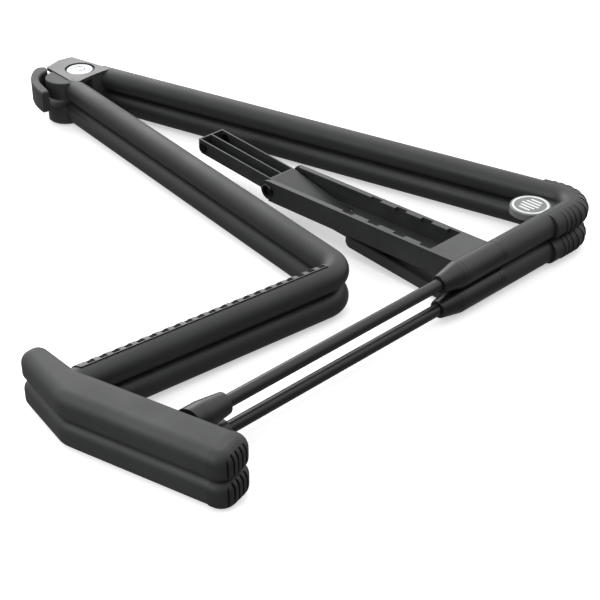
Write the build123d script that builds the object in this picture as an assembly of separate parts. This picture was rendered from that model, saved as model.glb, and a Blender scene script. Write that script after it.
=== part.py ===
# Folding rack for several guitars, folded flat and lying on its side.
# Two mirror-image side frames lie one on the other: the left frame is above the
# plane Z = 0 of the working frame, the right frame is below it.  A two-part
# folding spreader joins them, hinged on the tie rod of each frame.
# Working frame: X runs along the tie rods from the end foot to the rear bend,
# Y runs from the tie rods to the apex, Z is up.  The whole rack is moved at the
# end so that its box stands on Z = 0 and is centred in X and Y.
from build123d import *
import math
import os

# ---- driving dimensions (mm, degrees) ----
tube_d = 25.0                # every bent tube
tube_wall = 1.5
frame_pitch = 25.4           # axis of one side frame to axis of the other, folded
bend_r = 22.0                # centre-line radius of both bends
fit_gap = 0.3                # between parts that move past each other
pin_clearance = 0.05         # radial, pivots

rear_corner_x = 244.7        # where the rear leg's axis meets the tie rod's line
rear_leg_angle = 103.97      # rear leg, from +X
front_corner = (-6.1, 71.5)  # where the cradle's axis meets the front leg's axis
front_leg_angle = 82.18
cradle_angle = 174.07
cradle_length = 281.0        # front corner to the end inside the end foot
rear_leg_top = 562.0         # Y of the rear leg tube's upper end
front_leg_top = 556.0

rod_d = 11.0
rod_start = -256.0           # inside the end foot
plug_length = 14.0           # seam ring's plug, which the rod ends in
hinge_x0, hinge_x1 = 62.5, 110.5      # the spreader's width along the tie rod
cone_length = 26.0
cone_small_d = 16.5
front_cone_end_x = -209.0
ring_width = 5.0

link_reach = 243.0           # hinge axis to centre pin, along Y when folded
pin_height = 3.5             # centre pin above the plane between the frames
link_rise = 10.0             # channel above the line from hinge to pin
link_drop = 11.5             # and below it
tongue_reach = 112.0         # tongue past the centre pin
tongue_half_width = 16.0
tongue_half_height = 7.5

foot_width = 38.0
foot_face = -276.0           # outer face of the end foot, square to the rear leg
foot_extra = 1.0             # the foot's outer side stands past the tubes
apex = (84.0, 573.0)         # centre of the cap between the two legs
knuckle_r = 20.8

slot_count = 21
slot_pitch = 11.53
slot_length = 6.6

# ---- values that follow ----
tube_r = tube_d / 2
axis_z = frame_pitch / 2
layer_top = axis_z + tube_r
layer_bottom = axis_z - tube_r
link_mid_x = (hinge_x0 + hinge_x1) / 2


def direction(angle):
    return Vector(math.cos(math.radians(angle)), math.sin(math.radians(angle)), 0)


def box(x0, x1, y0, y1, z0, z1):
    """A box between two corners."""
    solid = Box(x1 - x0, y1 - y0, z1 - z0)
    return Pos((x0 + x1) / 2, (y0 + y1) / 2, (z0 + z1) / 2) * solid


def rod_along_x(x0, x1, diameter, y=0.0, z=0.0):
    """A round bar along X."""
    bar = Cylinder(diameter / 2, x1 - x0, rotation=(0, 90, 0))
    return Pos((x0 + x1) / 2, y, z) * bar


def cone_along_x(x0, x1, d0, d1, z):
    """A round taper along X, d0 wide at x0 and d1 wide at x1."""
    taper = Cone(d0 / 2, d1 / 2, x1 - x0, rotation=(0, 90, 0))
    return Pos((x0 + x1) / 2, 0, z) * taper


def post(x, y, z0, z1, radius):
    """A round post along Z."""
    return Pos(x, y, (z0 + z1) / 2) * Cylinder(radius, z1 - z0)


def slab(points, z0, z1):
    """A closed outline, drawn in plan, made solid between two heights."""
    face = make_face(Polyline(*points, close=True))
    return Pos(0, 0, z0) * extrude(face, amount=z1 - z0)


def round_uprights(solid, radius, near):
    """Round the upright edges that stand near the given plan points."""
    chosen = []
    for edge in solid.edges().filter_by(Axis.Z):
        centre = edge.center()
        if any(math.hypot(centre.X - x, centre.Y - y) < 1.0 for x, y in near):
            chosen.append(edge)
    return fillet(chosen, radius)


def path_plane(path):
    """The plane square to a path at its start, with its own X kept upright."""
    return Plane(origin=path @ 0, x_dir=(0, 0, 1), z_dir=path % 0)


# ---- the routes of the tubes, at the height of the left frame's axis ----
rear_corner = Vector(rear_corner_x, 0, axis_z)
rear_leg_run = rear_leg_top / math.sin(math.radians(rear_leg_angle))
rear_leg_end = rear_corner + direction(rear_leg_angle) * rear_leg_run
front_bend = Vector(front_corner[0], front_corner[1], axis_z)
front_leg_run = (front_leg_top - front_corner[1]) / math.sin(math.radians(front_leg_angle))
front_leg_end = front_bend + direction(front_leg_angle) * front_leg_run
cradle_end = front_bend + direction(cradle_angle) * cradle_length
ring_x0 = hinge_x1 + fit_gap
ring_x1 = ring_x0 + ring_width
rear_tube_start = Vector(ring_x1, 0, axis_z)


def bent_tube(points):
    path = FilletPolyline(*points, radius=bend_r)
    plane = path_plane(path)
    outside = sweep(plane * Circle(tube_r), path=path)
    inside = sweep(plane * Circle(tube_r - tube_wall), path=path)
    return outside - inside


def solid_route(points, radius):
    """The space that a bent tube fills, for sockets and saddles."""
    path = FilletPolyline(*points, radius=bend_r)
    return sweep(path_plane(path) * Circle(radius), path=path)


rear_points = [rear_tube_start, rear_corner, rear_leg_end]
front_points = [cradle_end, front_bend, front_leg_end]


def rear_leg_tube():
    """Rear leg: bent at the bottom, its short end runs back towards the spreader."""
    return bent_tube(rear_points)


def front_leg_tube():
    """Front leg and cradle arm, one tube bent near the middle of the frame."""
    return bent_tube(front_points)


# ---- end foot: the broad moulded foot at the end of the cradle ----
across = direction(rear_leg_angle - 90)      # from the foot's outer face inwards
along = direction(rear_leg_angle)            # from the floor end to the tip
foot_top_round = 10.0
foot_under_round = 8.0
pad_length = 17.0
pad_proud = 0.8
pad_round = 14.0
tip_round_plan = 10.6
pad_flare = 2.6              # how far the pad's inner corner leans out
groove_count = 6
groove_pitch = 5.2
groove_width = 2.0
groove_depth = 3.4


def foot_point(depth, run):
    """A plan point in the foot: depth from its outer face, run from its floor end."""
    place = across * (foot_face + depth) + along * run
    return (place.X, place.Y)


foot_bend = foot_point(0, 154)
tip_outer = (-292.5, 151.5)
tip_inner = (-269.0, 153.5)
foot_inner_bend = (-271.0, 104.0)


def foot_outline(grow=0.0):
    floor_outer = foot_point(-grow, 0)
    floor_inner = foot_point(foot_width + grow, 0)
    return [floor_outer, foot_bend, tip_outer, tip_inner, foot_inner_bend, floor_inner]


def end_foot():
    z0, z1 = layer_bottom, layer_top + foot_extra
    body = slab(foot_outline(), z0, z1)
    body = round_uprights(body, tip_round_plan, [tip_outer, tip_inner])
    body = round_uprights(body, 24, [foot_bend])
    body = round_uprights(body, 20, [foot_inner_bend])
    body = fillet(body.faces().sort_by(Axis.Z)[-1].edges(), foot_top_round)
    body = fillet(body.faces().sort_by(Axis.Z)[0].edges(), foot_under_round)
    body -= floor_zone()
    body -= solid_route(front_points, tube_r)
    slot = Box(60, 7.2, 2.4)
    body -= cradle_place(cradle_length - 20) * Pos(0, 0, -tube_r) * slot
    body -= rod_along_x(rod_start, 0, rod_d, z=axis_z)
    return body


def floor_zone():
    """The end of the foot that the ribbed pad takes."""
    corners = [foot_point(-9, -9), foot_point(-9, pad_length)]
    corners += [foot_point(foot_width + 9, pad_length), foot_point(foot_width + 9, -9)]
    return slab(corners, layer_bottom - 1, layer_top + foot_extra + 1)


def foot_pad():
    """Ribbed rubber end that stands on the floor when the rack is in use."""
    z0, z1 = layer_bottom, layer_top + foot_extra
    corners = [foot_point(-pad_proud, 0), foot_point(-pad_proud, pad_length)]
    corners += [foot_point(foot_width + pad_proud, pad_length)]
    corners += [foot_point(foot_width + pad_flare, 0)]
    body = slab(corners, z0, z1)
    body = round_uprights(body, pad_round, [corners[0], corners[3]])
    top = body.faces().sort_by(Axis.Z)[-1].edges()
    back = [e for e in top if abs(e.center().dot(along) - pad_length) < 0.5]
    body = fillet([e for e in top if e not in back], foot_top_round)
    under = body.faces().sort_by(Axis.Z)[0].edges()
    back = [e for e in under if abs(e.center().dot(along) - pad_length) < 0.5]
    body = fillet([e for e in under if e not in back], foot_under_round)
    first = foot_width / 2 - groove_pitch * (groove_count - 1) / 2
    for number in range(groove_count):
        depth = first + number * groove_pitch
        x, y = foot_point(depth, 0)
        cut = Box(groove_width, groove_depth * 2, z1 - z0 + 2)
        turn = Rot(0, 0, rear_leg_angle - 90)
        body -= Pos(x, y, (z0 + z1) / 2) * turn * cut
    return body


# ---- tie rod and its end pieces ----
def tie_rod():
    """Thin rod from the end foot to the rear tube; the spreader turns on it."""
    return rod_along_x(rod_start, ring_x1 + plug_length, rod_d, z=axis_z)


def rear_cone():
    """Tapered collar between the tie rod and the spreader's hinge."""
    x1 = hinge_x0 - fit_gap
    cone = cone_along_x(x1 - cone_length, x1 - 3, cone_small_d, tube_d, axis_z)
    cone += rod_along_x(x1 - 3, x1, tube_d, z=axis_z)
    rim = cone.edges().sort_by(Axis.X)[0]
    cone = fillet(rim, 1.5)
    return cone - rod_along_x(x1 - 40, x1 + 5, rod_d, z=axis_z)


def front_cone():
    """The same collar at the end foot, on a short stub that enters the foot."""
    x1 = front_cone_end_x
    stub_end = x1 - cone_length + 3
    cone = cone_along_x(stub_end, x1, tube_d - 1, cone_small_d + 2, axis_z)
    cone += rod_along_x(stub_end - 20, stub_end, tube_d - 1, z=axis_z)
    rim = cone.edges().sort_by(Axis.X)[-1]
    cone = fillet(rim, 1.5)
    return cone - rod_along_x(x1 - 60, x1 + 5, rod_d, z=axis_z) - end_foot_block()


def end_foot_block():
    """The foot's plan shape over the full height, to trim what butts against it."""
    return slab(foot_outline(), layer_bottom - 2, layer_top + 2)


def seam_ring():
    """Plug that closes the rear tube where the hinge begins."""
    plug_r = tube_r - tube_wall
    ring = rod_along_x(ring_x0, ring_x1, tube_d, z=axis_z)
    ring += rod_along_x(ring_x1, ring_x1 + plug_length, plug_r * 2, z=axis_z)
    return ring - rod_along_x(0, 200, rod_d, z=axis_z)


# ---- ribbed sleeve on the rear bend ----
sleeve_out = 3.2              # how far it stands out of the bend
rib_count = 11
rib_width = 2.4
rib_height = 0.9


def sleeve_route(run_back, run_up):
    """The bend's route, shortened, as far as the sleeve covers it."""
    start = rear_corner - Vector(run_back, 0, 0)
    end = rear_corner + direction(rear_leg_angle) * run_up
    return FilletPolyline(start, rear_corner, end, radius=bend_r)


def sleeve_section(plane, out):
    """Crescent between the tube and a circle set out from it, on the outside."""
    return plane * (Pos(0, out) * Circle(tube_r - 0.05) - Circle(tube_r))


def bend_sleeve():
    """Rubber shoe on the outside of the rear bend, with ribs across it."""
    route = sleeve_route(60, 44)
    plane = path_plane(route)
    shoe = sweep(sleeve_section(plane, sleeve_out), path=route)
    ribbed = sweep(sleeve_section(plane, sleeve_out + rib_height), path=route)
    for number in range(rib_count):
        place = 0.17 + 0.72 * number / (rib_count - 1)
        at = Plane(origin=route @ place, x_dir=(0, 0, 1), z_dir=route % place)
        disc = at * Cylinder(tube_r * 1.6, rib_width)
        shoe += ribbed & disc
    return shoe


# ---- badge disc inside the rear bend ----
badge = (196.0, 26.5)
badge_r = 19.5
badge_top = axis_z + 7.5
badge_thick = 7.0


def badge_mount():
    """Web in the corner of the rear bend that carries the badge disc."""
    reach = rear_corner + direction(rear_leg_angle) * 62
    corners = [(badge[0] - 8, 6), (rear_corner_x - 12, 6), (reach.X, reach.Y)]
    corners += [(badge[0] + 8, badge[1] + 14)]
    web = slab(corners, axis_z - 4, axis_z + 3)
    web -= post(*badge, axis_z + 0.5, axis_z + 8, badge_r)
    return web - solid_route(rear_points, tube_r)


def badge_disc():
    """Flat round badge; its face is plain, with a shallow rim."""
    disc = post(*badge, badge_top - badge_thick, badge_top, badge_r)
    disc = fillet(disc.edges().group_by(Axis.Z)[-1], 1.2)
    disc -= solid_route(rear_points, tube_r)
    return disc


# ---- apex: bracket, knuckle, cap, bolt ----
plate_thick = 4.0
knuckle = (59.6, 569.2)
knuckle_z0, knuckle_z1 = 4.6, layer_top - 1.0
cap_r = 15.0
cap_recess_r = 16.8
bracket_front = [(60.0, 602.0), (56.3, 552.0), (62.5, 545.0)]
bracket_back = [(109.0, 549.0), (98.0, 607.0), (82.0, 609.5)]


def bracket_outline():
    """Plan outline of the bracket, hollowed by an arc between the two legs."""
    first, second, third = bracket_front
    right, corner, crown = bracket_back
    lines = Polyline(first, second, third)
    lines += ThreePointArc(third, (84.5, 548.5), right)
    lines += Polyline(right, corner, crown, first)
    return make_face(lines)


def knuckle_space(z0, z1, radius):
    """Round end of the front leg, cut off where the rear leg's side begins."""
    cut = box(knuckle[0] + 10, 120, 540, 600, z0 - 1, z1 + 1)
    return post(*knuckle, z0, z1, radius) - cut


def apex_bracket():
    """Bracket that joins the two legs: a plate over both, a block round one."""
    under_plate = layer_top - plate_thick
    body = Pos(0, 0, under_plate) * extrude(bracket_outline(), amount=plate_thick)
    block = Pos(0, 0, layer_bottom + 0.3) * extrude(bracket_outline(), amount=tube_d - 1)
    body += block - box(0, 82, 500, 650, layer_bottom - 1, under_plate)
    body = round_uprights(body, 3, [bracket_back[1]])
    body -= solid_route(rear_points, tube_r)
    body -= solid_route(front_points, tube_r + 0.02)
    body -= knuckle_space(layer_bottom - 1, knuckle_z1 + 0.02, knuckle_r + 0.05)
    body -= post(*apex, layer_top - 2.2, layer_top + 1, cap_recess_r)
    body -= post(*apex, layer_bottom - 2, layer_top, 4.0)
    return body


def apex_knuckle():
    """Round end of the front leg, standing on its own upright axis."""
    body = knuckle_space(knuckle_z0, knuckle_z1, knuckle_r)
    body = chamfer(body.edges().group_by(Axis.Z)[-1], 0.8)
    body -= solid_route(front_points, tube_r)
    body -= solid_route(rear_points, tube_r)
    body -= post(*apex, layer_bottom - 2, layer_top, 4.0)
    body -= post(*apex, layer_top - 2.2, layer_top + 1, cap_recess_r)
    return max(body.solids(), key=lambda solid: solid.volume)


def apex_cap():
    """Bright cap over the bolt, a shallow dome in its recess."""
    cap = post(*apex, layer_top - 2.2, layer_top - 0.1, cap_r)
    return chamfer(cap.edges().group_by(Axis.Z)[-1], 1.4)


def apex_bolt():
    """Bolt under the cap."""
    shank = post(*apex, layer_bottom + 1, layer_top - 2.2, 4.0)
    return shank - solid_route(front_points, tube_r) - solid_route(rear_points, tube_r)


def fold_clip():
    """Hooked clip that reaches from the plate round the upper knuckle."""
    outer = Spline((65, 603.5), (57, 609.5), (43, 601), (30, 583.5), (21.5, 562), (19, 548))
    end = Line(outer @ 1, (27, 546.5))
    inner = Spline(end @ 1, (31.5, 560), (39, 581), (47, 589.5), (59, 593.5))
    face = make_face(outer + end + inner + Line(inner @ 1, outer @ 0))
    clip = Pos(0, 0, layer_bottom + 0.6) * extrude(face, amount=tube_d - 1.6)
    clip = Pos(-3, 2, 0) * fillet(clip.edges().group_by(Axis.Z)[-1], 2.5)
    clip -= slab([(59.8, 640), (59.8, 590), (120, 590), (120, 640)], 0, 40)
    return clip - knuckle_space(0, 40, knuckle_r + 1.2)


# ---- cradle strip ----
# A half-round rubber saddle on the upper side of the cradle, cut across by slots
# that show a black liner under it.
liner_inner_r = 12.7          # clear of the tube at every corner
liner_r = 13.1
arc_steps = 14
strip_r = 13.5
saddle_low = -12.0            # both stop here, clear of the other frame
slot_low = -9.0
slot_side = 0.35              # slots end this far above the saddle's lower edge
first_slot = 24.0             # centre of the first slot from the front corner


def cradle_place(run):
    """Frame on the cradle's axis: X along it, Y up in use, Z across."""
    place = front_bend + direction(cradle_angle) * run
    return Pos(place.X, place.Y, place.Z) * Rot(0, 0, cradle_angle - 180)


def arc_points(radius, last_angle=92):
    """Points round the saddle, from its lower edge over the tube's top."""
    low = math.degrees(math.asin(saddle_low / radius))
    angles = [low + (last_angle - low) * n / arc_steps for n in range(arc_steps + 1)]
    places = [(math.cos(math.radians(a)), math.sin(math.radians(a))) for a in angles]
    return [(0, radius * up, radius * side) for up, side in places]


def saddle_bar(inner_r, outer_r):
    """Many-sided shell on the upper side of the cradle, from bend to foot."""
    run0 = first_slot - slot_length / 2 - 1.4
    run1 = cradle_length - 9
    corners = arc_points(outer_r) + arc_points(inner_r)[::-1]
    face = make_face(Polyline(*corners, close=True))
    return cradle_place(run1) * extrude(face, amount=run1 - run0, dir=(1, 0, 0))


def cradle_liner():
    """Black liner under the slotted saddle."""
    return saddle_bar(liner_inner_r, liner_r - 0.05) - end_foot_block()


def cradle_strip():
    """Rubber saddle with its row of slots."""
    shell = saddle_bar(liner_r, strip_r)
    for number in range(slot_count):
        place = cradle_place(first_slot + number * slot_pitch)
        shell -= place * Pos(0, 20 + slot_side, slot_low + 20) * Box(slot_length, 40, 40)
    return shell - end_foot_block()


# ---- spreader ----
# Each half turns on its own tie rod; both meet at the centre pin.
right_tilt = math.degrees(math.atan2(pin_height + axis_z, link_reach))
left_tilt = math.degrees(math.atan2(pin_height - axis_z, link_reach))
link_wall = 3.0
lip_width = 5.5
lip_thick = 2.0
pin_d = 8.0
pin_length_past_wall = 2.2
slot_half = tongue_half_width + 0.35   # slot in the floor that the beam passes
slot_margin = 12.0
tab_count = 3
first_tab = 49.0
tab_pitch = 32.0
tab_length = 19.0
notch_length = 13.0
notch_depth = 2.4             # cut into the lip between two tabs
tongue_wall = 1.6
ramp_foot = -4.0              # height of the beam where its ramp begins
tip_round = 6.0
tongue_pin_d = 10.0
tongue_pin_y = 7.0            # back from the tongue's end


def left_place():
    """Frame of the left half: hinge axis at the origin, pin along its own Y."""
    return Pos(0, 0, axis_z) * Rot(left_tilt, 0, 0)


def right_place():
    return Pos(0, 0, -axis_z) * Rot(right_tilt, 0, 0)


left_length = math.hypot(link_reach, pin_height - axis_z)
right_length = math.hypot(link_reach, pin_height + axis_z)
barrel_bore = rod_d + 2 * pin_clearance


def hinge_barrel():
    """Barrel round the tie rod."""
    return rod_along_x(hinge_x0, hinge_x1, tube_d) - rod_along_x(0, 200, barrel_bore)


def left_channel():
    """Left half: an open channel with turned-in lips and a row of tabs."""
    x0, x1 = hinge_x0, hinge_x1
    floor_end = left_length - 78
    walls = box(x0, x0 + link_wall, 3, left_length, -link_drop, link_rise)
    walls += box(x1 - link_wall, x1, 3, left_length, -link_drop, link_rise)
    for x in (x0 + link_wall / 2, x1 - link_wall / 2):
        end = Cylinder(link_rise, link_wall, rotation=(0, 90, 0))
        walls += Pos(x, left_length, 0) * end
    body = walls + box(x0, x1, 3, floor_end, -link_drop, -link_drop + 2.2)
    for edge_x, inner_x in ((x0, link_mid_x - slot_half), (link_mid_x + slot_half, x1)):
        strip_end = left_length - slot_margin
        body += box(edge_x, inner_x, floor_end - 1, strip_end, -link_drop, -link_drop + 2.2)
    body += box(x0, x1, 3, 36, link_rise - 2.5, link_rise)
    body += box(x0, x1, 33.5, 36, -link_drop, link_rise)
    body += box(x0, x0 + lip_width, 3, left_length, link_rise - lip_thick, link_rise)
    body += box(x1 - lip_width, x1, 3, left_length, link_rise - lip_thick, link_rise)
    for number in range(tab_count):
        y0 = first_tab + number * tab_pitch
        for edge_x in (x0 + lip_width - 0.1, x1 - lip_width - 1.6 + 0.1):
            body += box(edge_x, edge_x + 1.6, y0, y0 + tab_length, link_rise - 2.8, link_rise)
    for number in range(tab_count + 1):
        y1 = first_tab + number * tab_pitch
        notch = box(0, notch_depth, y1 - notch_length, y1, link_rise - 3, link_rise + 1)
        body -= Pos(x0 + lip_width - notch_depth, 0, 0) * notch
        body -= Pos(x1 - lip_width, 0, 0) * notch
    body -= rod_along_x(0, 200, tube_d)
    body -= rod_along_x(0, 200, pin_d, y=left_length)
    return body


def left_rib():
    """Low rib on the channel's floor, as far as the folded-in tongue."""
    height = -link_drop + 2.2
    rib_end = left_length - tongue_reach - 3
    return box(link_mid_x - 1, link_mid_x + 1, 36, rib_end, height, height + 3.0)


def right_channel():
    """Right half near its hinge: a shallow tray as wide as the left half."""
    x0, x1 = hinge_x0, hinge_x1
    tray_end = 137.0
    top = -1.0
    tray = box(x0, x1, 3, tray_end, -link_drop, top)
    corner = [e for e in tray.edges().filter_by(Axis.X) if e.center().Y > 100 and e.center().Z < -5]
    tray = fillet(corner, 6.0)
    tray -= box(x0 + link_wall, x1 - link_wall, 22, tray_end - 3, -link_drop + 2.5, top + 1)
    tray -= rod_along_x(0, 200, tube_d)
    return tray - nose_profile(0.02)


def nose_profile(grow=0.0):
    """The narrow beam and its ramp, between the walls of the left half."""
    half = tongue_half_width + grow
    ramp_start = right_length - 78
    points = [(ramp_start - 70, -link_drop + 2.5 - grow), (ramp_start - 70, ramp_foot)]
    points += [(ramp_start, ramp_foot), (right_length + 5, tongue_half_height)]
    points += [(right_length + 5, -tongue_half_height)]
    points += [(ramp_start + 20, -link_drop + 2.5 - grow)]
    face = make_face(Polyline(*[(0, y, z) for y, z in points], close=True))
    half_beam = extrude(face, amount=half, both=True)
    return Pos(link_mid_x, 0, 0) * half_beam


def right_nose():
    """Narrow beam with a ramp on top, which carries the centre pin."""
    beam = nose_profile()
    return beam - rod_along_x(0, 200, pin_d + 2 * pin_clearance, y=right_length)


def right_tongue():
    """Ribbed tongue past the pin: three thin walls over a closed floor."""
    y0 = right_length + 5
    y1 = right_length + tongue_reach
    half = tongue_half_width
    height = tongue_half_height
    body = box(link_mid_x - half, link_mid_x + half, y0, y1, -height, height)
    tip = [e for e in body.edges().filter_by(Axis.X) if e.center().Y > y1 - 0.5]
    body = fillet([e for e in tip if e.center().Z < 0], tip_round)
    wall = tongue_wall
    bay = half - wall * 1.5
    for side in (-1, 1):
        middle = link_mid_x + side * (wall / 2 + bay / 2)
        body -= box(middle - bay / 2, middle + bay / 2, y0 + 2, y1 - 1.6, -height + 2, height + 1)
    return body - tongue_pin(-1) - tongue_pin(1)


def tongue_pin(side):
    """Short boss on the outside of the tongue, through its outer wall."""
    outer = link_mid_x + side * (tongue_half_width + 1.5)
    inner = link_mid_x + side * (tongue_half_width - tongue_wall)
    x0, x1 = sorted((outer, inner))
    return rod_along_x(x0, x1, tongue_pin_d, y=right_length + tongue_reach - tongue_pin_y)


def centre_pin():
    x0 = hinge_x0 - 0.4
    x1 = hinge_x1 + 0.4
    return rod_along_x(x0, x1, pin_d, y=left_length)


def pin_head(side):
    """Domed head on each end of the centre pin."""
    face = hinge_x0 if side < 0 else hinge_x1
    x0, x1 = sorted((face, face + side * pin_length_past_wall))
    head = rod_along_x(x0, x1, 14.0, y=left_length)
    outer = head.edges().sort_by(Axis.X)[0 if side < 0 else -1]
    head = chamfer(outer, 0.8)
    return head - rod_along_x(0, 200, pin_d, y=left_length)


def collect():
    """Every node by name, in the working frame."""
    makers = {
        "rear_leg_tube": rear_leg_tube,
        "front_leg_tube": front_leg_tube,
        "end_foot": end_foot,
        "foot_pad": foot_pad,
        "tie_rod": tie_rod,
        "front_cone": front_cone,
        "rear_cone": rear_cone,
        "seam_ring": seam_ring,
        "bend_sleeve": bend_sleeve,
        "badge_mount": badge_mount,
        "badge_disc": badge_disc,
        "apex_bracket": apex_bracket,
        "apex_knuckle": apex_knuckle,
        "apex_cap": apex_cap,
        "apex_bolt": apex_bolt,
        "cradle_strip": cradle_strip,
        "cradle_liner": cradle_liner,
    }
    nodes = {}
    for name, maker in makers.items():
        left = maker()
        nodes["left_" + name] = left
        nodes["right_" + name] = mirror(left, about=Plane.XY)
    nodes["left_fold_clip"] = fold_clip()
    nodes["left_hinge_barrel"] = left_place() * hinge_barrel()
    nodes["left_channel"] = left_place() * left_channel()
    nodes["left_channel_rib"] = left_place() * left_rib()
    nodes["right_hinge_barrel"] = right_place() * hinge_barrel()
    nodes["right_channel"] = right_place() * right_channel()
    nodes["right_nose"] = right_place() * right_nose()
    nodes["right_tongue"] = right_place() * right_tongue()
    nodes["near_tongue_pin"] = right_place() * tongue_pin(-1)
    nodes["far_tongue_pin"] = right_place() * tongue_pin(1)
    nodes["centre_pin"] = left_place() * centre_pin()
    nodes["near_pin_head"] = left_place() * pin_head(-1)
    nodes["far_pin_head"] = left_place() * pin_head(1)
    return nodes


parts = collect()
boxes = [part.bounding_box() for part in parts.values()]
low = Vector(*[min(getattr(b.min, k) for b in boxes) for k in "XYZ"])
high = Vector(*[max(getattr(b.max, k) for b in boxes) for k in "XYZ"])
shift = Pos(-(low.X + high.X) / 2, -(low.Y + high.Y) / 2, -low.Z)

os.makedirs("parts", exist_ok=True)
for name, part in parts.items():
    export_step(shift * part, f"parts/{name}.step")

print("size", tuple(high - low))
print("shift", shift.position)
print("right hinge", (shift * Pos(0, 0, -axis_z)).position)
print("centre pin", (shift * Pos(0, link_reach, pin_height)).position)
print("left hinge", (shift * Pos(0, 0, axis_z)).position)
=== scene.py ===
import math
import bmesh
import bpy
from mathutils import Matrix, Vector


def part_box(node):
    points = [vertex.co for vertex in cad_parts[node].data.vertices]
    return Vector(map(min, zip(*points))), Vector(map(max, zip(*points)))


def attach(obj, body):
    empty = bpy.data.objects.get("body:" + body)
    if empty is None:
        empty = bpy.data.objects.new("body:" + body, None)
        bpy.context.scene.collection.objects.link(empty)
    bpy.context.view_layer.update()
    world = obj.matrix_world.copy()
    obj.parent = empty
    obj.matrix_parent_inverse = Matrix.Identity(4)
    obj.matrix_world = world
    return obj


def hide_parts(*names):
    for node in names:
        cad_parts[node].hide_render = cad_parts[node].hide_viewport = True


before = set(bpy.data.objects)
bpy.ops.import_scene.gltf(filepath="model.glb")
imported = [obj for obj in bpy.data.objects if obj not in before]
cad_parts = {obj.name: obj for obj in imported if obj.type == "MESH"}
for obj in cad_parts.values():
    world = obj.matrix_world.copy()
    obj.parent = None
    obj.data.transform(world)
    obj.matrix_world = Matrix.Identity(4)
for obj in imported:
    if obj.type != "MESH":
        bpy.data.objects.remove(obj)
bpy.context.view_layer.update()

mm = 0.001


def linear(hex_colour):
    """sRGB hex to linear RGBA."""
    out = []
    for start in (0, 2, 4):
        value = int(hex_colour[start:start + 2], 16) / 255
        out.append(value / 12.92 if value <= 0.04045 else ((value + 0.055) / 1.055) ** 2.4)
    return (*out, 1.0)


# ---- camera, light and floor ----
# A long lens looks down past the end foot. The rack lies on white paper in a white
# tent, which gives broad soft reflections along the tubes.
aim = Vector((-0.02734, -0.19362, 0.0262))
distance = 1.24086
elevation = math.radians(32.016)
heading = Vector((0.69597, 0.71807, 0.0))      # level direction the camera looks in
roll = math.radians(0.15)
look = heading * math.cos(elevation) + Vector((0, 0, -math.sin(elevation)))

camera_data = bpy.data.cameras.new("camera")
camera_data.lens = 86.38
camera_data.sensor_width = 36.0
camera_data.clip_end = 20.0
camera = bpy.data.objects.new("camera", camera_data)
bpy.context.scene.collection.objects.link(camera)
camera.location = aim - look * distance
turn = look.to_track_quat("-Z", "Y").to_matrix().to_4x4()
camera.rotation_euler = (turn @ Matrix.Rotation(-roll, 4, "Z")).to_euler()
bpy.context.scene.camera = camera
bpy.context.scene.view_settings.view_transform = "Standard"

world = bpy.data.worlds.new("white tent")
world.use_nodes = True
bpy.context.scene.world = world


def soft_light(name, place, size, power):
    """A square area light turned towards the middle of the object."""
    data = bpy.data.lights.new(name, "AREA")
    data.shape = "SQUARE"
    data.size = size
    data.energy = power
    lamp = bpy.data.objects.new(name, data)
    bpy.context.scene.collection.objects.link(lamp)
    lamp.location = place
    lamp.rotation_euler = (aim - Vector(place)).to_track_quat("-Z", "Y").to_euler()


def add_node(tree, kind, settings=(), links=()):
    """Add one node, set its inputs or properties, and join its inputs."""
    node = tree.nodes.new(kind)
    for key, value in dict(settings).items():
        if isinstance(key, int) or key in node.inputs:
            node.inputs[key].default_value = value
        else:
            setattr(node, key, value)
    for key, source in dict(links).items():
        tree.links.new(source, node.inputs[key])
    return node


# The tent is bright above and behind the object, dark low down on the camera's side.
tent = world.node_tree
toward = add_node(tent, "ShaderNodeTexCoord").outputs["Generated"]
bright_side = (heading * 0.55 + Vector((0, 0, 0.84))).normalized()
facing = add_node(tent, "ShaderNodeVectorMath", {"operation": "DOT_PRODUCT", 1: tuple(bright_side)},
                  {0: toward})
level = add_node(tent, "ShaderNodeMapRange",
                 {"interpolation_type": "SMOOTHSTEP", "From Min": -0.15, "From Max": 0.85,
                  "To Min": 0.22, "To Max": 1.5},
                 {"Value": facing.outputs["Value"]})
tent.nodes["Background"].inputs["Color"].default_value = linear("ffffff")
tent.links.new(level.outputs["Result"], tent.nodes["Background"].inputs["Strength"])
soft_light("back light", (0.5, 1.3, 0.9), 1.2, 9.0)
soft_light("side light", (-1.4, -0.2, 0.8), 0.8, 9.0)


def new_material(name):
    """A material with its node tree and shader."""
    material = bpy.data.materials.new(name)
    material.use_nodes = True
    return material, material.node_tree, material.node_tree.nodes["Principled BSDF"]


def mesh_piece(name, mesh):
    """An object at the origin that carries the mesh."""
    piece = bpy.data.objects.new(name, mesh)
    bpy.context.scene.collection.objects.link(piece)
    return piece


# The paper only shows to the camera: it throws no light back onto the rack.
floor_mesh = bpy.data.meshes.new("floor")
floor_half = 6.0
floor_level = -0.4 * mm        # just under the rack, so that no faces coincide
floor_corners = ((-1, -1), (1, -1), (1, 1), (-1, 1))
floor_mesh.from_pydata([(x * floor_half, y * floor_half, floor_level) for x, y in floor_corners],
                       [], [(0, 1, 2, 3)])
floor = mesh_piece("floor", floor_mesh)
floor_paint, tree, shader = new_material("matt white paper")
shader.inputs["Base Color"].default_value = linear("e4e4e4")
shader.inputs["Roughness"].default_value = 0.9
shader.inputs["Specular IOR Level"].default_value = 0.1
shader.inputs["Emission Color"].default_value = linear("ffffff")
shader.inputs["Emission Strength"].default_value = 0.5
floor_mesh.materials.append(floor_paint)
floor.visible_diffuse = False
floor.visible_glossy = False


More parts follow.
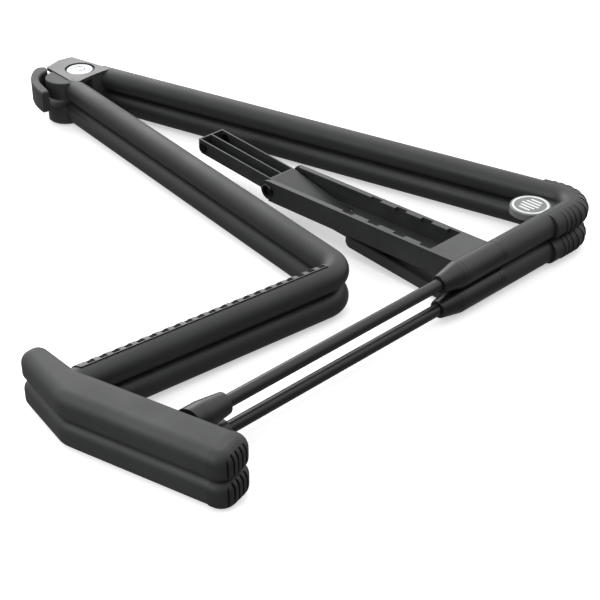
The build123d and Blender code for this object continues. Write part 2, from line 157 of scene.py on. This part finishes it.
# ---- side frames: four bent tubes ----
# 25 mm steel tube, two bent tubes to a frame, coated in satin black powder. The
# powder leaves a fine orange peel and small changes in gloss.
def coat(material, *nodes):
    """Give a material to nodes that keep their own shape."""
    for node in nodes:
        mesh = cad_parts[node].data
        mesh.materials.clear()
        mesh.materials.append(material)


def both(*names):
    """The nodes of both side frames with these names."""
    return [side + name for side in ("left_", "right_") for name in names]


def grain(tree, shader, size_mm, depth_mm):
    """Fine bump in the finish; size_mm is the distance from grain to grain."""
    place = add_node(tree, "ShaderNodeTexCoord").outputs["Object"]
    noise = add_node(tree, "ShaderNodeTexNoise",
                     {"Scale": 1000.0 / size_mm, "Detail": 3.0, "Roughness": 0.6},
                     {"Vector": place})
    bump = add_node(tree, "ShaderNodeBump", {"Strength": 1.0, "Distance": depth_mm * mm},
                    {"Height": noise.outputs["Fac"]})
    tree.links.new(bump.outputs["Normal"], shader.inputs["Normal"])
    return place


def mottle(tree, place, size_mm, low, high):
    """Slow change between two values, for gloss that isn't quite even."""
    cloud = add_node(tree, "ShaderNodeTexNoise", {"Scale": 1000.0 / size_mm, "Detail": 4.0},
                     {"Vector": place})
    span = add_node(tree, "ShaderNodeMapRange",
                    {"From Min": 0.3, "From Max": 0.7, "To Min": low, "To Max": high},
                    {"Value": cloud.outputs["Fac"]})
    return span.outputs["Result"]


def two_tone(tree, place, size_mm, dark, light):
    """Slow change between two close colours."""
    cloud = add_node(tree, "ShaderNodeTexNoise", {"Scale": 1000.0 / size_mm, "Detail": 5.0},
                     {"Vector": place})
    ramp = add_node(tree, "ShaderNodeValToRGB", {}, {"Fac": cloud.outputs["Fac"]})
    ramp.color_ramp.elements[0].position = 0.35
    ramp.color_ramp.elements[0].color = linear(dark)
    ramp.color_ramp.elements[1].position = 0.65
    ramp.color_ramp.elements[1].color = linear(light)
    return ramp.outputs["Color"]


powder_coat, tree, shader = new_material("satin black powder coat")
place = grain(tree, shader, 0.9, 0.02)
tree.links.new(two_tone(tree, place, 70, "212223", "272829"), shader.inputs["Base Color"])
tree.links.new(mottle(tree, place, 50, 0.44, 0.54), shader.inputs["Roughness"])
shader.inputs["Specular IOR Level"].default_value = 0.5
coat(powder_coat, *both("rear_leg_tube", "front_leg_tube"))

# ---- tie rods ----
# 11 mm steel bar from each end foot to its rear tube, with a thinner and glossier
# black coat than the tubes. Each half of the spreader turns on one of them.
rod_coat, tree, shader = new_material("gloss black coated bar")
place = grain(tree, shader, 1.4, 0.006)
tree.links.new(two_tone(tree, place, 60, "121314", "18191a"), shader.inputs["Base Color"])
tree.links.new(mottle(tree, place, 30, 0.24, 0.32), shader.inputs["Roughness"])
coat(rod_coat, *both("tie_rod"))

# ---- end feet ----
# One nylon moulding closes each cradle. Its tool leaves an even matt grain, and it is
# greyer than the tube.
foot_nylon, tree, shader = new_material("grained black nylon")
place = grain(tree, shader, 0.7, 0.035)
tree.links.new(two_tone(tree, place, 60, "2b2d2c", "323433"), shader.inputs["Base Color"])
tree.links.new(mottle(tree, place, 40, 0.52, 0.62), shader.inputs["Roughness"])
coat(foot_nylon, *both("end_foot"))

# ---- floor pads and shoes on the rear bends ----
# Moulded black rubber with ribs, pressed over the foot's end and the outside of the
# rear bend. It is dull, with a dusty bloom.
black_rubber, tree, shader = new_material("moulded black rubber")
place = grain(tree, shader, 0.8, 0.03)
tree.links.new(two_tone(tree, place, 25, "1e1f1f", "282929"), shader.inputs["Base Color"])
tree.links.new(mottle(tree, place, 20, 0.5, 0.64), shader.inputs["Roughness"])
coat(black_rubber, *both("foot_pad", "bend_sleeve"))

# ---- hinge collars, plugs and barrels ----
# Smooth moulded nylon, glossier than the feet. The fold clip and the round knuckles
# at the apex have the feet's grained finish.
satin_nylon, tree, shader = new_material("satin black nylon")
place = grain(tree, shader, 0.6, 0.01)
tree.links.new(two_tone(tree, place, 40, "121314", "191a1b"), shader.inputs["Base Color"])
tree.links.new(mottle(tree, place, 25, 0.27, 0.34), shader.inputs["Roughness"])
coat(satin_nylon, *both("front_cone", "rear_cone", "seam_ring", "hinge_barrel", "badge_mount"))
coat(foot_nylon, "left_fold_clip", *both("apex_knuckle"))

# ---- apex: bracket, bolt and pins ----
# The bracket between the two legs is grey nylon, smooth on top. The bolt through it
# and the spreader's pins are blacked steel.
bracket_nylon, tree, shader = new_material("polished grey nylon")
place = grain(tree, shader, 0.6, 0.008)
tree.links.new(two_tone(tree, place, 30, "3a3b3c", "424344"), shader.inputs["Base Color"])
tree.links.new(mottle(tree, place, 20, 0.3, 0.38), shader.inputs["Roughness"])
coat(bracket_nylon, *both("apex_bracket"))

blacked_steel, tree, shader = new_material("blacked steel")
shader.inputs["Base Color"].default_value = linear("3a3b3d")
shader.inputs["Metallic"].default_value = 1.0
place = grain(tree, shader, 0.4, 0.006)
tree.links.new(mottle(tree, place, 5, 0.3, 0.42), shader.inputs["Roughness"])
coat(blacked_steel, "near_tongue_pin", "far_tongue_pin", "centre_pin", "near_pin_head",
     "far_pin_head", *both("apex_bolt"))

# ---- apex caps ----
# Pressed and chromed steel, one over each apex bolt: a low dome with two turned rings.
chrome, tree, shader = new_material("chrome plated steel")
shader.inputs["Base Color"].default_value = linear("a4a7aa")
shader.inputs["Metallic"].default_value = 1.0
place = grain(tree, shader, 0.5, 0.002)
tree.links.new(mottle(tree, place, 6, 0.12, 0.2), shader.inputs["Roughness"])
coat(chrome, *both("apex_cap"))

round_steps = 72               # faces round a full turn
sides = (("left", 1), ("right", -1))      # the right frame faces down


def circle(centre, radius_mm, z):
    """Points round an upright axis."""
    radius = radius_mm * mm
    angles = [2 * math.pi * n / round_steps for n in range(round_steps)]
    return [(centre[0] + radius * math.cos(a), centre[1] + radius * math.sin(a), z)
            for a in angles]


# radius and depth under the cap's face, in mm, from its edge to its middle
cap_profile = [(14.9, 2.0), (14.9, 1.2), (14.4, 0.7), (13.2, 0.35), (12.6, 0.55), (12.0, 0.5),
               (11.2, 0.1), (9.0, -0.15), (7.6, -0.2), (7.2, 0.15), (6.4, 0.15), (6.0, -0.25),
               (3.0, -0.4), (0.4, -0.42)]
for side_name, side in sides:
    low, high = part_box(side_name + "_apex_cap")
    centre = ((low[0] + high[0]) / 2, (low[1] + high[1]) / 2)
    face = high[2] if side > 0 else low[2]
    work = bmesh.new()
    rows = [[work.verts.new(point) for point in circle(centre, radius, face - side * depth * mm)]
            for radius, depth in cap_profile]
    for outer, inner in zip(rows, rows[1:]):
        for n in range(round_steps):
            after = (n + 1) % round_steps
            work.faces.new((outer[n], inner[n], inner[after], outer[after]))
    work.faces.new(rows[0])
    work.faces.new(rows[-1])
    bmesh.ops.recalc_face_normals(work, faces=work.faces)
    mesh = bpy.data.meshes.new(side_name + "_cap_dome")
    work.to_mesh(mesh)
    work.free()
    mesh.materials.append(chrome)
    mesh.shade_smooth()
    cap = mesh_piece(side_name + "_cap_dome", mesh)
    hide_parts(side_name + "_apex_cap")
    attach(cap, side_name + "_frame")

# ---- badges ----
# A moulded disc set in the corner of the rear bend, with a raised pale ring and five
# plain pale bars. The pattern is generic.
badge_face, tree, shader = new_material("moulded badge")
place = grain(tree, shader, 0.5, 0.008)
tree.links.new(two_tone(tree, place, 12, "6a6b6c", "747576"), shader.inputs["Base Color"])
tree.links.new(mottle(tree, place, 10, 0.3, 0.4), shader.inputs["Roughness"])
coat(badge_face, *both("badge_disc"))

enamel, tree, shader = new_material("pale enamel")
place = grain(tree, shader, 0.5, 0.004)
tree.links.new(two_tone(tree, place, 8, "d4d6d6", "e2e4e4"), shader.inputs["Base Color"])
shader.inputs["Roughness"].default_value = 0.3
# radius and depth under the disc's face, in mm, round the ring's section
ring_profile = [(17.6, 0.02), (17.4, -0.25), (15.4, -0.25), (15.2, 0.02)]
disc_r = 19.5 * mm
bar_count = 5
bar_pitch = 4.6                # mm, as are the four below
bar_width = 2.2
bar_height = 0.5
middle_bar = 9.5               # half the middle bar's length
bar_taper = 0.35               # how much shorter a bar is for each mm off the middle
for side_name, side in sides:
    low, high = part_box(side_name + "_badge_disc")
    face = high[2] if side > 0 else low[2]
    middle = Vector((high[0] - disc_r, high[1] - disc_r, face))
    work = bmesh.new()
    rings = [[work.verts.new(point) for point in circle(middle, radius, face - side * depth * mm)]
             for radius, depth in ring_profile]
    for near, far in zip(rings, rings[1:] + rings[:1]):
        for n in range(round_steps):
            after = (n + 1) % round_steps
            work.faces.new((near[n], far[n], far[after], near[after]))
    for number in range(bar_count):
        across = (number - (bar_count - 1) / 2) * bar_pitch
        length = 2 * (middle_bar - abs(across) * bar_taper)
        size = Matrix.Diagonal((bar_width * mm, length * mm, bar_height * mm, 1.0))
        bar = Matrix.Translation(middle + Vector((across * mm, 0, 0)))
        bmesh.ops.create_cube(work, size=1.0, matrix=bar @ size)
    bmesh.ops.recalc_face_normals(work, faces=work.faces)
    mesh = bpy.data.meshes.new(side_name + "_badge_print")
    work.to_mesh(mesh)
    work.free()
    mesh.materials.append(enamel)
    badge_print = mesh_piece(side_name + "_badge_print", mesh)
    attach(badge_print, side_name + "_frame")

# ---- cradle strips ----
# A grey rubber strip lies over the inner side of each cradle, where the guitars rest.
# Its slots show a near-black liner under it, painted shade that stands in for the depth of the
# slots.
saddle_rubber, tree, shader = new_material("saddle rubber")
place = grain(tree, shader, 0.6, 0.01)
tree.links.new(two_tone(tree, place, 14, "3a3b3c", "434445"), shader.inputs["Base Color"])
tree.links.new(mottle(tree, place, 10, 0.3, 0.42), shader.inputs["Roughness"])
coat(saddle_rubber, *both("cradle_strip"))

# Painted shade: the liner's near-black, almost unreflecting colour stands in for the dark depth of
# the slots.
painted_shade_liner, tree, shader = new_material("painted shade liner")
place = grain(tree, shader, 0.6, 0.01)
tree.links.new(two_tone(tree, place, 14, "060606", "0a0a0a"), shader.inputs["Base Color"])
shader.inputs["Roughness"].default_value = 0.8
shader.inputs["Specular IOR Level"].default_value = 0.15
coat(painted_shade_liner, *both("cradle_liner"))

# ---- spreader ----
# Two hinged nylon mouldings that fold into each other: an open channel with tabs
# along its lips, and a tray with a ramp and a ribbed tongue.
link_nylon, tree, shader = new_material("moulded link nylon")
place = grain(tree, shader, 0.6, 0.012)
tree.links.new(two_tone(tree, place, 40, "2b2c2d", "333435"), shader.inputs["Base Color"])
tree.links.new(mottle(tree, place, 25, 0.34, 0.44), shader.inputs["Roughness"])
coat(link_nylon, "left_channel", "left_channel_rib", "right_channel", "right_nose", "right_tongue")
